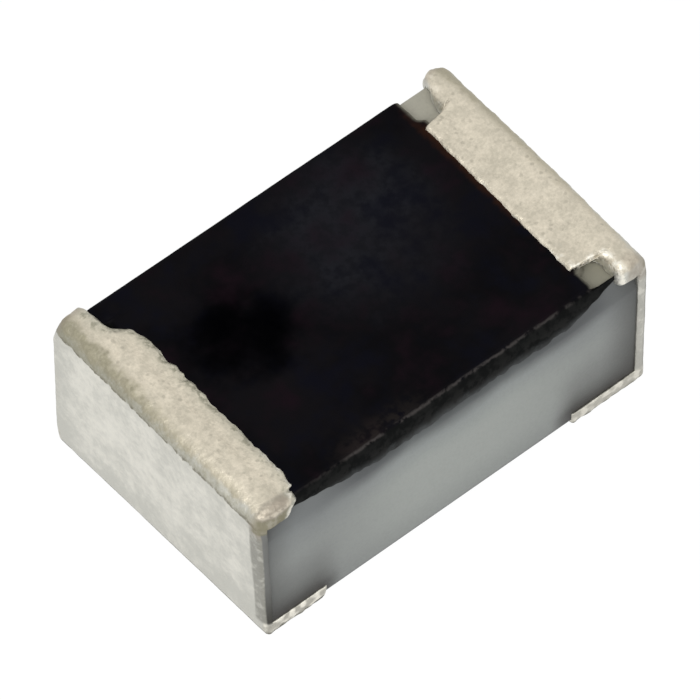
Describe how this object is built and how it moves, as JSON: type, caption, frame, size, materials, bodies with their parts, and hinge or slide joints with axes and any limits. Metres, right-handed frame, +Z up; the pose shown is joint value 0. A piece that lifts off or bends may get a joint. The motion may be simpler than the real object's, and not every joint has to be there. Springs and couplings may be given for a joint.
{
  "type": "chip resistor",
  "caption": "Rectangular thick film chip resistor: ceramic block, black coated film on top and tin plated wrap-round end terminals for surface mounting.",
  "frame": {"origin": "in the plane of the soldering pads, under the middle of the part", "axes": "+X along the length towards the end with the longer pad, +Y across the width, +Z up from the pads to the black coat"},
  "size_m": [0.002, 0.0012, 0.0008],
  "materials": {
    "ceramic": "satin",
    "film": "matte",
    "glaze": "gloss",
    "resin": "satin",
    "print": "matte",
    "edge": "matte",
    "nickel": "satin",
    "tin": "matte"
  },
  "bodies": {
    "root": {"ceramic_substrate": "ceramic", "resistive_film": "film", "glass_coat": "glaze", "resin_coat": "resin", "top_electrode_left": "print", "top_electrode_right": "print", "bottom_electrode_left": "print", "bottom_electrode_right": "print", "edge_electrode_left": "edge", "edge_electrode_right": "edge", "nickel_barrier_left": "nickel", "nickel_barrier_right": "nickel", "tin_plating_left": "tin", "tin_plating_right": "tin"}
  },
  "joints": []
}
